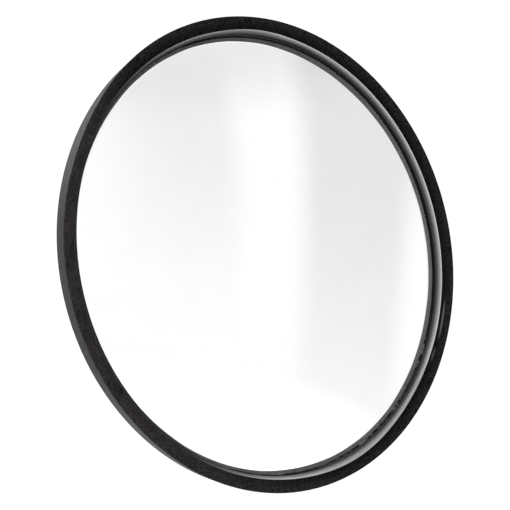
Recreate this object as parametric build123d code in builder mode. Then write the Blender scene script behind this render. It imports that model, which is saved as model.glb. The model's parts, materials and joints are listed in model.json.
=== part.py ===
from build123d import *
import os
from math import cos, radians, sqrt, tan

# Convex security mirror, 450 mm across its rim, on a wall arm that pans and tilts.
# Millimetres. +Z is up, the mirror looks along -Y and the wall is the plane y = 0.
# The origin is the centre of the wall plate's rear face.
# "Depth" is the distance behind the front plane of the rim, towards the wall.

# ---- Rim: a moulded rubber channel that grips the mirror and its back panel ----
rim_r = 225.25  # where the front face and side wall would meet; rounded off, the rim measures 450
face_inner_r = 212.1  # the front face slopes in to this radius...
face_inner_depth = 3.2  # ...at this depth
bevel_foot_r = 209.1  # bevel from the face to the inner wall
bevel_foot_depth = 5.2
rim_side_r = 220.5  # the side wall tapers to this radius...
rim_side_depth = 19.5  # ...at this depth
rim_rear_r = 215.5  # outer radius of the rear face
rim_lip_r = 205.5  # inner radius of the rear limb
rim_rear_limb = 2.5  # thickness of the rear limb
wall_break_r = 208.6  # narrowest part of the inner wall
wall_break_depth = 9.0
wall_foot_r = 209.1  # inner wall where it meets the mirror's flange
rim_roundings = [0.3, 0.7, 4.0, 1.5, 0.8, 0, 0, 0, 0, 3.0, 2.0]

# ---- Mirror, seal and back panel, stacked in the channel ----
flange_depth = 15.0  # front face of the mirror's flat flange
mirror_t = 3.0
dome_r = 204.0  # radius of the domed part
sphere_r = 600.0  # radius of curvature of the reflecting face
flange_r = 214.0
dome_bend_front = 2.0
dome_bend_rear = 5.0
channel_r = 214.5  # bottom of the channel, with room for the flange
foam_t = 1.6
foam_outer_r = 213.0
foam_inner_r = 206.0
panel_t = 3.2
seal_top_depth = 11.6
seal_top_r = 207.2
seal_nose_r = 204.0
seal_nose_h = 0.7
seal_undercut = 0.9
sealant_h = 1.8
sealant_inner_gap = 0.05
sealant_outer_gap = 0.15
sealant_edge = 0.6

# ---- Fasteners of the hub ----
hub_hole_spacing = 60.0
inner_plate_t = 2.0
m6_r = 3.0
m6_hole_r = 3.2
m6_flats = 10.0
m6_head_h = 4.0
m6_nut_h = 5.0
m6_washer_r = 6.0
m6_washer_t = 1.2
bolt_end_spare = 2.0  # thread that shows beyond a nut
thread_gap = 0.02  # radial gap between a bolt and its nut, both drawn without their threads

# ---- The two friction joints, which are alike ----
m8_r = 4.0
run_gap = 0.05  # radial clearance on an M8 shank
m8_flats = 13.0
m8_head_h = 5.3
m8_washer_r = 8.0
m8_washer_t = 1.6
spring_washer_r = 7.2
spring_washer_t = 2.0
spring_washer_cut = 1.5
barrel_r = 12.0
barrel_half = 12.0
bush_r = 5.98
bush_bore_r = 6.0
bush_flange_r = 11.0
bush_flange_t = 1.5
bush_sleeve = 10.0
ear_gap = 0.1  # end play beside each bush flange
ear_t = 3.0
ear_r = 14.0
ear_bend_inner = 2.0
ear_bend_outer = ear_bend_inner + ear_t
shoulder = 15.0  # joint axis to the shoulder that the tube butts on
knob_hub_r = 9.0
knob_hub_h = 16.0
knob_hub_taper = 1.5
knob_bore_r = 4.6  # clear of the bolt beyond the insert
knob_wing_r = 21.0
knob_wing_t = 6.0
insert_r = 6.0
insert_h = 14.0
insert_chamfer = 0.5
wing_foot = 2.5  # above the knob's base
wing_foot_r = 14.0
wing_low = 9.0  # where a wing's outer edge starts, above the base
wing_crest = 4.0  # above the hub
wing_crest_r = 13.0
wing_valley = 3.0  # below the hub's top
wing_valley_r = 8.0
washer_gap = 0.2

# ---- Arm ----
arm_length = 150.0  # pan axis to tilt axis
tube_r = 11.0
tube_bore_r = 9.0
spigot_r = 8.95
spigot_length = 22.0
spigot_chamfer = 0.8
pin_r = 1.98
pin_hole_r = 2.0
pin_bore_r = 1.2
pin_from_shoulder = 11.0
pin_slot = 0.6
pin_end_gap = 0.4

# ---- Plates ----
plate_t = 3.0
plate_corner_r = 10.0
hub_plate_size = 90.0
wall_plate_width = 80.0
wall_plate_height = 110.0
wall_hole_x = 50.0
wall_hole_z = 84.0
wall_hole_r = 3.25
pan_reach = 30.0  # wall to pan axis
tilt_reach = 28.0  # back panel's rear face to tilt axis

# ---- Places that follow from the sizes above ----
foam_depth = flange_depth + mirror_t
panel_depth = foam_depth + foam_t
panel_rear_depth = panel_depth + panel_t
rim_depth = panel_rear_depth + rim_rear_limb
pan_y = -pan_reach
tilt_y = pan_y - arm_length
front_y = tilt_y - tilt_reach - panel_rear_depth
ear_inner = barrel_half + bush_flange_t + ear_gap
ear_outer = ear_inner + ear_t
knob_base = ear_outer + m8_washer_t + spring_washer_t
m8_length = ear_outer + knob_base + knob_hub_h + bolt_end_spare

# Joint planes: local X runs from the joint into the arm, local Z along the bolt to its knob.
tilt_joint = Plane((0, tilt_y, 0), x_dir=(0, 1, 0), z_dir=(1, 0, 0))
pan_joint = Plane((0, pan_y, 0), x_dir=(0, -1, 0), z_dir=(0, 0, -1))


def facing_front(depth):
    """Plane across the mirror's axis at a depth, from which extrude goes forwards."""
    return Plane.XZ.offset(-(front_y + depth))


def facing_rear(depth):
    """Plane across the mirror's axis at a depth, from which extrude goes to the rear."""
    return Plane((0, front_y + depth, 0), x_dir=(1, 0, 0), z_dir=(0, 1, 0))


def section(corners, radii):
    """Closed outline of (radius, depth) corners, each rounded by its own radius."""
    points = [(radius, front_y + depth) for radius, depth in corners]
    FilletPolyline(*points, radius=radii, close=True)


def dome_point(radius, sphere):
    """Point of a dome's section, on a sphere about the reflecting face's own centre."""
    centre = front_y + flange_depth + sqrt(sphere_r**2 - dome_r**2)
    return (radius, centre - sqrt(sphere**2 - radius**2))


def hexagon(across_flats, height, bore=0.0):
    """Hexagon standing on XY, its upper corners turned off at 30 degrees."""
    corner = across_flats / 2 / cos(radians(30))
    turned = corner - across_flats / 2 * 0.95
    slope = tan(radians(30))
    with BuildPart() as blank:
        with BuildSketch():
            RegularPolygon(across_flats / 2, 6, major_radius=False)
        extrude(amount=height)
        with BuildSketch(Plane.XZ):
            with BuildLine():
                Polyline(
                    (0, 0),
                    (corner, 0),
                    (corner, height - turned * slope),
                    (corner - turned, height),
                    (0, height),
                    close=True,
                )
            make_face()
        revolve(axis=Axis.Z, mode=Mode.INTERSECT)
        if bore:
            Hole(bore)
    return blank.part


def hex_bolt(radius, length, across_flats, head_h):
    """Hexagon-head bolt along Z: the head is below XY and the shank above."""
    with BuildPart() as bolt:
        add(hexagon(across_flats, head_h), rotation=(180, 0, 0))
        with BuildSketch():
            Circle(radius)
        extrude(amount=length)
        chamfer(bolt.faces().sort_by(Axis.Z)[-1].edges(), radius * 0.2)
    return bolt.part


# ---- Mirror head ----
with BuildPart() as edge_trim:
    with BuildSketch(Plane.XY):
        with BuildLine():
            section(
                [
                    (face_inner_r, face_inner_depth),
                    (rim_r, 0),
                    (rim_side_r, rim_side_depth),
                    (rim_rear_r, rim_depth),
                    (rim_lip_r, rim_depth),
                    (rim_lip_r, panel_rear_depth),
                    (channel_r, panel_rear_depth),
                    (channel_r, flange_depth),
                    (wall_foot_r, flange_depth),
                    (wall_break_r, wall_break_depth),
                    (bevel_foot_r, bevel_foot_depth),
                ],
                rim_roundings,
            )
        make_face()
    revolve(axis=Axis.Y)

with BuildPart() as mirror_dome:
    with BuildSketch(Plane.XY) as dome_section:
        inner_sphere = sphere_r - mirror_t
        centre_behind_flange = sqrt(sphere_r**2 - dome_r**2) - mirror_t
        inner_r = sqrt(inner_sphere**2 - centre_behind_flange**2)
        with BuildLine():
            ThreePointArc(
                dome_point(0, sphere_r),
                dome_point(dome_r / 2, sphere_r),
                dome_point(dome_r, sphere_r),
            )
            Polyline(
                dome_point(dome_r, sphere_r),
                (flange_r, front_y + flange_depth),
                (flange_r, front_y + foam_depth),
                (inner_r, front_y + foam_depth),
            )
            ThreePointArc(
                dome_point(inner_r, inner_sphere),
                dome_point(inner_r / 2, inner_sphere),
                dome_point(0, inner_sphere),
            )
            Line(dome_point(0, inner_sphere), dome_point(0, sphere_r))
        make_face()
        bend = dome_section.vertices().sort_by_distance((dome_r, front_y + flange_depth))[0]
        fillet(bend, dome_bend_front)
        bend = dome_section.vertices().sort_by_distance((inner_r, front_y + foam_depth))[0]
        fillet(bend, dome_bend_rear)
    revolve(axis=Axis.Y)

with BuildPart() as lip_seal:
    with BuildSketch(Plane.XY):
        with BuildLine():
            section(
                [
                    (seal_nose_r, flange_depth - seal_nose_h),
                    (seal_top_r, seal_top_depth),
                    (seal_top_r, flange_depth),
                    (seal_nose_r + seal_undercut, flange_depth),
                ],
                [0.25, 0.5, 0, 0],
            )
        make_face()
    revolve(axis=Axis.Y)

with BuildPart() as sealant_bead:
    with BuildSketch(Plane.XY):
        with BuildLine():
            bead_inner_r = seal_top_r + sealant_inner_gap
            bead_outer_r = wall_foot_r - sealant_outer_gap
            section(
                [
                    (bead_inner_r, flange_depth),
                    (bead_inner_r, flange_depth - sealant_h),
                    (bead_outer_r, flange_depth - sealant_h),
                    (bead_outer_r, flange_depth),
                ],
                [0, sealant_edge, sealant_edge, 0],
            )
        make_face()
    revolve(axis=Axis.Y)

with BuildPart() as foam_ring:
    with BuildSketch(facing_front(panel_depth)):
        Circle(foam_outer_r)
        Circle(foam_inner_r, mode=Mode.SUBTRACT)
    extrude(amount=foam_t)

with BuildPart() as back_panel:
    with BuildSketch(facing_front(panel_rear_depth)):
        Circle(flange_r)
        with GridLocations(hub_hole_spacing, hub_hole_spacing, 2, 2):
            Circle(m6_hole_r, mode=Mode.SUBTRACT)
    extrude(amount=panel_t)

with BuildPart() as inner_plate:
    with BuildSketch(facing_front(panel_depth)):
        RectangleRounded(hub_plate_size, hub_plate_size, plate_corner_r)
        with GridLocations(hub_hole_spacing, hub_hole_spacing, 2, 2):
            Circle(m6_hole_r, mode=Mode.SUBTRACT)
    extrude(amount=inner_plate_t)

hub_stack = inner_plate_t + panel_t + plate_t
hub_bolt_length = hub_stack + m6_washer_t + m6_nut_h + bolt_end_spare
with BuildPart(facing_rear(panel_depth - inner_plate_t)) as hub_bolts:
    with GridLocations(hub_hole_spacing, hub_hole_spacing, 2, 2):
        add(hex_bolt(m6_r, hub_bolt_length, m6_flats, m6_head_h))

with BuildPart(facing_rear(panel_rear_depth + plate_t)) as hub_washers:
    with GridLocations(hub_hole_spacing, hub_hole_spacing, 2, 2):
        Cylinder(m6_washer_r, m6_washer_t, align=(Align.CENTER, Align.CENTER, Align.MIN))
        Hole(m6_hole_r)

with BuildPart(facing_rear(panel_rear_depth + plate_t + m6_washer_t)) as hub_nuts:
    with GridLocations(hub_hole_spacing, hub_hole_spacing, 2, 2):
        add(hexagon(m6_flats, m6_nut_h, m6_r + thread_gap))


# ---- Pieces that both joints have, made in the joint plane's own axes ----
def u_outline(base):
    """Section of the pressed U: a base welded to the plate, and two ears bent up from it."""
    FilletPolyline(
        (base, -ear_outer),
        (ear_r, -ear_outer),
        (ear_r, -ear_inner),
        (base + ear_t, -ear_inner),
        (base + ear_t, ear_inner),
        (ear_r, ear_inner),
        (ear_r, ear_outer),
        (base, ear_outer),
        radius=[ear_bend_outer, 0, 0, ear_bend_inner, ear_bend_inner, 0, 0, ear_bend_outer],
        close=True,
    )


def bracket(reach, width, height, hole_y, hole_z, hole_r):
    """Flat plate with a pressed U welded on, whose ears carry the joint's bolt."""
    with BuildPart() as part:
        with BuildSketch(Plane.XZ.offset(-ear_r)):
            with BuildLine():
                u_outline(plate_t - reach)
            make_face()
        extrude(amount=2 * ear_r)
        with BuildSketch(Plane.XY.offset(-ear_outer)):
            with Locations((-reach, 0)):
                Rectangle(reach, 2 * ear_r, align=(Align.MIN, Align.CENTER))
            Circle(ear_r)
            Circle(m8_r + run_gap, mode=Mode.SUBTRACT)
        extrude(amount=2 * ear_outer, mode=Mode.INTERSECT)
        with BuildSketch(Plane.YZ.offset(-reach)):
            RectangleRounded(width, height, plate_corner_r)
            with GridLocations(hole_y, hole_z, 2, 2):
                Circle(hole_r, mode=Mode.SUBTRACT)
        extrude(amount=plate_t)
    return part.part


def knuckle():
    """Cast eye at an end of the arm: a barrel about the bolt, and a spigot that fills the tube."""
    with BuildPart() as part:
        Cylinder(barrel_r, 2 * barrel_half)
        with BuildSketch(Plane.YZ):
            Circle(tube_r)
        extrude(amount=shoulder)
        with BuildSketch(Plane.YZ.offset(shoulder)):
            Circle(spigot_r)
        extrude(amount=spigot_length)
        chamfer(part.faces().sort_by(Axis.X)[-1].edges(), spigot_chamfer)
        Hole(bush_bore_r)
        with Locations((shoulder + pin_from_shoulder, 0, 0)):
            Hole(pin_hole_r)
    return part.part


def bushes():
    """Two flanged bushes, one from each end of the barrel."""
    with BuildPart() as pair:
        for side in (1, -1):
            with BuildSketch(Plane.XY.offset(side * barrel_half)):
                Circle(bush_flange_r)
            extrude(amount=side * bush_flange_t)
            with BuildSketch(Plane.XY.offset(side * barrel_half)):
                Circle(bush_r)
            extrude(amount=-side * bush_sleeve)
        Hole(m8_r + run_gap)
    return pair.part


def washer(outer_r, thickness, base, cut=0.0):
    """Washer about the bolt, from base upwards; a spring washer has a cut through one side."""
    with BuildPart() as ring:
        with BuildSketch(Plane.XY.offset(base)):
            Circle(outer_r)
            Circle(m8_r + washer_gap, mode=Mode.SUBTRACT)
            if cut:
                Rectangle(outer_r * 2, cut, align=(Align.MIN, Align.CENTER), mode=Mode.SUBTRACT)
        extrude(amount=thickness)
    return ring.part


def wing_knob():
    """Moulded wing knob with a seat for its threaded insert."""
    top = knob_base + knob_hub_h
    with BuildPart() as knob:
        with BuildSketch(Plane.XZ):
            with BuildLine():
                FilletPolyline(
                    (0, knob_base),
                    (knob_hub_r, knob_base),
                    (knob_hub_r - knob_hub_taper, top),
                    (0, top),
                    radius=[0, 0.8, 2.0, 0],
                    close=True,
                )
            make_face()
        revolve(axis=Axis.Z)
        with BuildSketch(Plane.XZ.offset(-knob_wing_t / 2)):
            for side in (1, -1):
                with BuildLine():
                    FilletPolyline(
                        (0, knob_base + wing_foot),
                        (side * wing_foot_r, knob_base + wing_foot),
                        (side * knob_wing_r, knob_base + wing_low),
                        (side * knob_wing_r, top + wing_crest),
                        (side * wing_crest_r, top + wing_crest),
                        (side * wing_valley_r, top - wing_valley),
                        (0, top - wing_valley),
                        radius=[0, 6.0, 4.0, 3.8, 3.8, 3.0, 0],
                        close=True,
                    )
                make_face()
        extrude(amount=knob_wing_t)
        with BuildSketch(Plane.XY.offset(knob_base)):
            Circle(insert_r + thread_gap)
        extrude(amount=insert_h, mode=Mode.SUBTRACT)
        with BuildSketch(Plane.XY.offset(knob_base)):
            Circle(knob_bore_r)
        extrude(amount=knob_hub_h, mode=Mode.SUBTRACT)
    return knob.part


def knob_insert():
    """Threaded insert of the wing knob, drawn at the thread's outer diameter plus running clearance."""
    with BuildPart() as insert:
        with BuildSketch(Plane.XY.offset(knob_base)):
            Circle(insert_r)
            Circle(m8_r + run_gap, mode=Mode.SUBTRACT)
        extrude(amount=insert_h)
        ends = insert.edges().filter_by(GeomType.CIRCLE).filter_by(lambda edge: edge.radius > m8_r + 1)
        chamfer(ends, insert_chamfer)
    return insert.part


# ---- Wall body ----
with BuildPart(pan_joint) as wall_bracket:
    add(bracket(pan_reach, wall_plate_width, wall_plate_height, wall_hole_x, wall_hole_z, wall_hole_r))

with BuildPart(pan_joint) as pan_bolt:
    with Locations((0, 0, -ear_outer)):
        add(hex_bolt(m8_r, m8_length, m8_flats, m8_head_h))

with BuildPart(pan_joint) as pan_washer:
    add(washer(m8_washer_r, m8_washer_t, ear_outer))

with BuildPart(pan_joint) as pan_spring_washer:
    add(washer(spring_washer_r, spring_washer_t, ear_outer + m8_washer_t, spring_washer_cut))

with BuildPart(pan_joint) as pan_knob:
    add(wing_knob())

with BuildPart(pan_joint) as pan_knob_insert:
    add(knob_insert())

# ---- Arm ----
with BuildPart(pan_joint) as pan_knuckle:
    add(knuckle())

with BuildPart(pan_joint) as pan_bushes:
    add(bushes())

with BuildPart(tilt_joint) as tilt_knuckle:
    add(knuckle())

with BuildPart(tilt_joint) as tilt_bushes:
    add(bushes())

with BuildPart() as arm_tube:
    with BuildSketch(Plane.XZ.offset(-(tilt_y + shoulder))):
        Circle(tube_r)
        Circle(tube_bore_r, mode=Mode.SUBTRACT)
    extrude(amount=-(arm_length - 2 * shoulder))
    with Locations(tilt_joint.location * Location((shoulder + pin_from_shoulder, 0, 0))):
        Hole(pin_hole_r)
    with Locations(pan_joint.location * Location((shoulder + pin_from_shoulder, 0, 0))):
        Hole(pin_hole_r)

with BuildPart() as arm_pins:
    for joint in (tilt_joint, pan_joint):
        seat = joint.location * Location((shoulder + pin_from_shoulder, 0, 0))
        with BuildSketch(Plane(seat)):
            Circle(pin_r)
            Circle(pin_bore_r, mode=Mode.SUBTRACT)
            Rectangle(pin_r * 2, pin_slot, align=(Align.MIN, Align.CENTER), mode=Mode.SUBTRACT)
        extrude(amount=tube_r - pin_end_gap, both=True)

# ---- Rest of the head: its side of the tilt joint ----
with BuildPart(tilt_joint) as hub_bracket:
    add(bracket(tilt_reach, hub_plate_size, hub_plate_size, hub_hole_spacing, hub_hole_spacing, m6_hole_r))

with BuildPart(tilt_joint) as tilt_bolt:
    with Locations((0, 0, -ear_outer)):
        add(hex_bolt(m8_r, m8_length, m8_flats, m8_head_h))

with BuildPart(tilt_joint) as tilt_washer:
    add(washer(m8_washer_r, m8_washer_t, ear_outer))

with BuildPart(tilt_joint) as tilt_spring_washer:
    add(washer(spring_washer_r, spring_washer_t, ear_outer + m8_washer_t, spring_washer_cut))

with BuildPart(tilt_joint) as tilt_knob:
    add(wing_knob())

with BuildPart(tilt_joint) as tilt_knob_insert:
    add(knob_insert())

# ---- One file per piece ----
pieces = {
    "edge_trim": edge_trim,
    "mirror_dome": mirror_dome,
    "lip_seal": lip_seal,
    "sealant_bead": sealant_bead,
    "foam_ring": foam_ring,
    "back_panel": back_panel,
    "inner_plate": inner_plate,
    "hub_bolts": hub_bolts,
    "hub_washers": hub_washers,
    "hub_nuts": hub_nuts,
    "hub_bracket": hub_bracket,
    "tilt_bolt": tilt_bolt,
    "tilt_washer": tilt_washer,
    "tilt_spring_washer": tilt_spring_washer,
    "tilt_knob": tilt_knob,
    "tilt_knob_insert": tilt_knob_insert,
    "tilt_knuckle": tilt_knuckle,
    "tilt_bushes": tilt_bushes,
    "arm_tube": arm_tube,
    "arm_pins": arm_pins,
    "pan_knuckle": pan_knuckle,
    "pan_bushes": pan_bushes,
    "pan_bolt": pan_bolt,
    "pan_washer": pan_washer,
    "pan_spring_washer": pan_spring_washer,
    "pan_knob": pan_knob,
    "pan_knob_insert": pan_knob_insert,
    "wall_bracket": wall_bracket,
}
os.makedirs("parts", exist_ok=True)
for name, piece in pieces.items():
    piece.part.label = name
    export_step(piece.part, f"parts/{name}.step")
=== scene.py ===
import json
import math
import random

import bmesh
import bpy
from mathutils import Matrix, Vector


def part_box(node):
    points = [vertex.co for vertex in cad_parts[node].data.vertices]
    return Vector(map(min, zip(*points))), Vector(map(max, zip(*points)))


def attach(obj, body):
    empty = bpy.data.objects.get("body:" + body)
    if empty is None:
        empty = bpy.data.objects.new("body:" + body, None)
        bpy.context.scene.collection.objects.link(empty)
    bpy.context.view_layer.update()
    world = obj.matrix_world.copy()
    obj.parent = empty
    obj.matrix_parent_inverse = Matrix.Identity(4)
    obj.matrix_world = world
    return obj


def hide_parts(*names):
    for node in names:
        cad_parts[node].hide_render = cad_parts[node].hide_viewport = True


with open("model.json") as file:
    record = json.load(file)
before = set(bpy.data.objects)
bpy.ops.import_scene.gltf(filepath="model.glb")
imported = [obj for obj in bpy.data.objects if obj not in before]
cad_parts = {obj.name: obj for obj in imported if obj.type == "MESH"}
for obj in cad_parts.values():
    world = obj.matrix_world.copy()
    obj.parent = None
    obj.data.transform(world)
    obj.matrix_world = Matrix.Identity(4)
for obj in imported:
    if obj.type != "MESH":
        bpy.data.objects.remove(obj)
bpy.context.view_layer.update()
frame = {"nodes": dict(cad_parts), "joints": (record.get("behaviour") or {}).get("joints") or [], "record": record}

# A convex security mirror on a pan-and-tilt wall arm. Metres; +Z up, the mirror looks along -Y.
# Along the mirror's axis, "depth" is the distance behind the front plane of its rim.

MM = 0.001
rim_low, rim_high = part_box("edge_trim")
RIM_R = (rim_high.x - rim_low.x) / 2
dome_low, dome_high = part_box("mirror_dome")
FLANGE_R = (dome_high.x - dome_low.x) / 2
FLANGE_REAR = 18 * MM
FRONT_Y = dome_high.y - FLANGE_REAR
RIM_DEPTH = rim_high.y - FRONT_Y
PANEL_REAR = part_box("back_panel")[1].y - FRONT_Y

JOINTS = {joint["name"]: joint for joint in frame["joints"]}
TILT_AXIS = Vector(JOINTS["tilt"]["pos_m"])
PAN_AXIS = Vector(JOINTS["pan"]["pos_m"])


# Dust and painted light on the rim's inner wall, pale at the crest and fading to painted shade deep down:
# (centimetres below the depth where it starts, grey).
CENTIMETRE = 10 * MM
DUST_AND_SHADE_START = 2.6 * MM
DUST_AND_SHADE_DOWN_THE_WALL = (
    (0.04, 0.200),
    (0.14, 0.095),
    (0.26, 0.042),
    (0.40, 0.018),
    (0.62, 0.012),
    (0.80, 0.001),
)

# Thin pale streaks on the right of the rim's front: (radius, upper end, lower end, strength).
PALE_STREAKS = (
    (0.2160, -0.022, -0.072, 0.9),
    (0.2150, -0.074, -0.092, 0.5),
)


# ---------------------------------------------------------------- nodes for materials
class Shader:
    """A material's node tree, with short names for the nodes that the materials share."""

    def __init__(self, name):
        self.material = bpy.data.materials.new(name)
        self.material.use_nodes = True
        self.tree = self.material.node_tree
        self.tree.nodes.clear()
        self.output = self.tree.nodes.new("ShaderNodeOutputMaterial")
        self.surface = self.tree.nodes.new("ShaderNodeBsdfPrincipled")
        self.tree.links.new(self.surface.outputs[0], self.output.inputs["Surface"])
        self.coords = self.tree.nodes.new("ShaderNodeTexCoord")

    def node(self, kind, **settings):
        made = self.tree.nodes.new("ShaderNode" + kind)
        for key, value in settings.items():
            setattr(made, key, value)
        return made

    def feed(self, socket, value):
        """Links an output to a socket, or sets the socket to a plain value."""
        if isinstance(value, bpy.types.NodeSocket):
            self.tree.links.new(value, socket)
        else:
            socket.default_value = value

    def set(self, **values):
        for name, value in values.items():
            self.feed(self.surface.inputs[name.replace("_", " ")], value)

    def position(self):
        """The x, y and z of a point in the object's own axes."""
        split = self.node("SeparateXYZ")
        self.tree.links.new(self.coords.outputs["Object"], split.inputs[0])
        return split.outputs

    def streak(self, x, z, radius, width, upper, lower):
        """Thin mark along the rim's right: 1 on a radius, between two heights, fading all round."""
        squares = self.math("ADD", self.times(x, x), self.times(z, z))
        aside = self.math("ABSOLUTE", self.math("SUBTRACT", self.math("SQRT", squares), radius))
        middle = (upper + lower) / 2
        above = self.math("ABSOLUTE", self.math("SUBTRACT", z, middle))
        ends = self.span(above, (upper - lower) / 2, (upper - lower) / 8)
        line = self.times(self.span(aside, width, 0.0), ends)
        return self.times(line, self.span(x, 0.0, 0.05))

    def place(self, scale, source="Object", turn=(0, 0, 0)):
        """Texture coordinates, scaled and turned."""
        mapping = self.node("Mapping")
        mapping.inputs["Scale"].default_value = scale
        mapping.inputs["Rotation"].default_value = turn
        self.tree.links.new(self.coords.outputs[source], mapping.inputs["Vector"])
        return mapping.outputs["Vector"]

    def noise(self, scale, detail=4.0, roughness=0.55, vector=None, distortion=0.0):
        made = self.node("TexNoise")
        made.inputs["Scale"].default_value = scale
        made.inputs["Detail"].default_value = detail
        made.inputs["Roughness"].default_value = roughness
        made.inputs["Distortion"].default_value = distortion
        self.tree.links.new(vector or self.coords.outputs["Object"], made.inputs["Vector"])
        return made.outputs["Fac"]

    def cells(self, scale):
        made = self.node("TexVoronoi")
        made.inputs["Scale"].default_value = scale
        self.tree.links.new(self.coords.outputs["Object"], made.inputs["Vector"])
        return made.outputs["Distance"]

    def ramp(self, value, *stops):
        """Colour ramp through (position, colour) stops; a colour may be one grey number."""
        made = self.node("ValToRGB")
        elements = made.color_ramp.elements
        while len(elements) < len(stops):
            elements.new(0.5)
        for element, (position, colour) in zip(elements, stops):
            grey = isinstance(colour, (int, float))
            element.position = position
            element.color = (*([colour] * 3), 1) if grey else (*colour, 1)
        self.tree.links.new(value, made.inputs["Fac"])
        return made.outputs["Color"]

    def math(self, operation, first, second=0.0):
        made = self.node("Math", operation=operation)
        self.feed(made.inputs[0], first)
        self.feed(made.inputs[1], second)
        return made.outputs["Value"]

    def times(self, first, second):
        return self.math("MULTIPLY", first, second)

    def span(self, value, start, end):
        """0 at start, 1 at end, smooth between; start may be the larger."""
        made = self.node("MapRange", interpolation_type="SMOOTHSTEP")
        self.feed(made.inputs["Value"], value)
        made.inputs["From Min"].default_value = start
        made.inputs["From Max"].default_value = end
        return made.outputs["Result"]

    def mix(self, factor, first, second):
        """Blend of two colours, each an (r, g, b) or an output: first at 0, second at 1."""
        made = self.node("Mix", data_type="RGBA")
        self.feed(made.inputs["Factor"], factor)
        self.feed(made.inputs["A"], (*first, 1) if isinstance(first, tuple) else first)
        self.feed(made.inputs["B"], (*second, 1) if isinstance(second, tuple) else second)
        return made.outputs["Result"]

    def bump(self, height, strength, distance):
        made = self.node("Bump")
        made.inputs["Strength"].default_value = strength
        made.inputs["Distance"].default_value = distance
        self.tree.links.new(height, made.inputs["Height"])
        self.tree.links.new(made.outputs["Normal"], self.surface.inputs["Normal"])


def rubber_front():
    """Front face of the rim: dead matt warm black with a mottled grain, a painted highlight towards its outer
    corner and painted light on its left.
    """
    s = Shader("rim_front_rubber")
    fine = s.noise(900, 3, 0.6)
    mottle = s.noise(520, 3, 0.7)
    clouds = s.noise(45, 5, 0.65)
    x, depth, z = s.position()
    # Painted light: the front is paler on its left, up to a little below the top, in soft clouds.
    left = s.times(s.span(x, 0.10, -0.16), s.span(clouds, 0.2, 0.6))
    left = s.times(left, s.span(z, 0.17, 0.07))
    # Painted highlight: lighter towards the front's outer rounded corner, darker towards its inner edge.
    outward = s.span(depth, FRONT_Y + 3.0 * MM, FRONT_Y + 0.4 * MM)
    dark_base = s.ramp(mottle, (0.38, (0.0001, 0.0001, 0.0001)), (0.64, (0.0038, 0.0034, 0.0035)))
    painted_corner_highlight = s.ramp(mottle, (0.38, (0.0020, 0.0018, 0.0019)), (0.64, (0.0125, 0.0113, 0.0118)))
    lit = s.mix(s.times(outward, 0.7), dark_base, painted_corner_highlight)
    paler_grey = s.ramp(mottle, (0.36, (0.0046, 0.0041, 0.0042)), (0.66, (0.0158, 0.0144, 0.0149)))
    surface_colour = s.mix(left, lit, paler_grey)
    for radius, upper, lower, strength in PALE_STREAKS:
        pale_streak = s.times(s.streak(x, z, radius, 1.6 * MM, upper, lower), strength)
        surface_colour = s.mix(pale_streak, surface_colour, (0.045, 0.043, 0.0435))
    s.set(Base_Color=surface_colour, Roughness=s.ramp(fine, (0.3, 0.65), (0.7, 0.85)))
    s.set(Specular_IOR_Level=0.015)
    s.bump(fine, 0.35, 0.0006)
    return s.material


def rubber_inner():
    """Bevel and inner wall of the rim: dust and a painted highlight at the crest, fading to painted shade and
    clean black down in the groove, paler where the studio light falls.
    """
    s = Shader("rim_inner_rubber")
    fine = s.noise(420, 4, 0.6)
    drawn = s.noise(60, 4, 0.6, vector=s.place((1, 18, 1)))
    x, depth, z = s.position()
    # Painted light: at the lower right the pale band runs further down the wall and is weaker.
    lower_right = s.times(s.span(x, -0.02, 0.10), s.span(z, -0.03, -0.12))
    down = s.math("DIVIDE", s.math("SUBTRACT", depth, FRONT_Y + DUST_AND_SHADE_START), CENTIMETRE)
    down = s.math("SUBTRACT", down, s.times(lower_right, 0.10))
    # Dust and painted light down the wall: pale at the crest, fading to painted shade deep in the groove.
    dust_and_shade = s.ramp(down, *DUST_AND_SHADE_DOWN_THE_WALL)
    full = s.math("SUBTRACT", 0.94, s.times(lower_right, 0.46))
    # Painted light: pale on the right where the studio light falls, hardly any on the left, a painted crest
    # highlight at the upper left, less deep down the top of the wall.
    upper_left = s.times(s.span(z, 0.06, 0.14), s.span(x, -0.20, -0.07))
    reach = s.math("MAXIMUM", s.span(x, -0.10, 0.03), s.times(upper_left, 0.7))
    top = s.times(s.span(z, 0.06, 0.16), s.span(x, 0.09, 0.03))
    deep = s.times(top, s.span(down, 0.06, 0.42))
    reach = s.times(reach, s.math("SUBTRACT", 1.0, s.times(deep, 0.85)))
    lit_share = s.math("ADD", 0.06, s.times(reach, full))
    uneven = s.times(lit_share, s.math("ADD", 0.72, s.times(drawn, 0.56)))
    s.set(Base_Color=s.mix(uneven, (0.004, 0.0037, 0.0038), dust_and_shade))
    s.set(Roughness=s.ramp(fine, (0.3, 0.5), (0.7, 0.66)), Specular_IOR_Level=0.015)
    s.bump(fine, 0.12, 0.0003)
    return s.material


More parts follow.
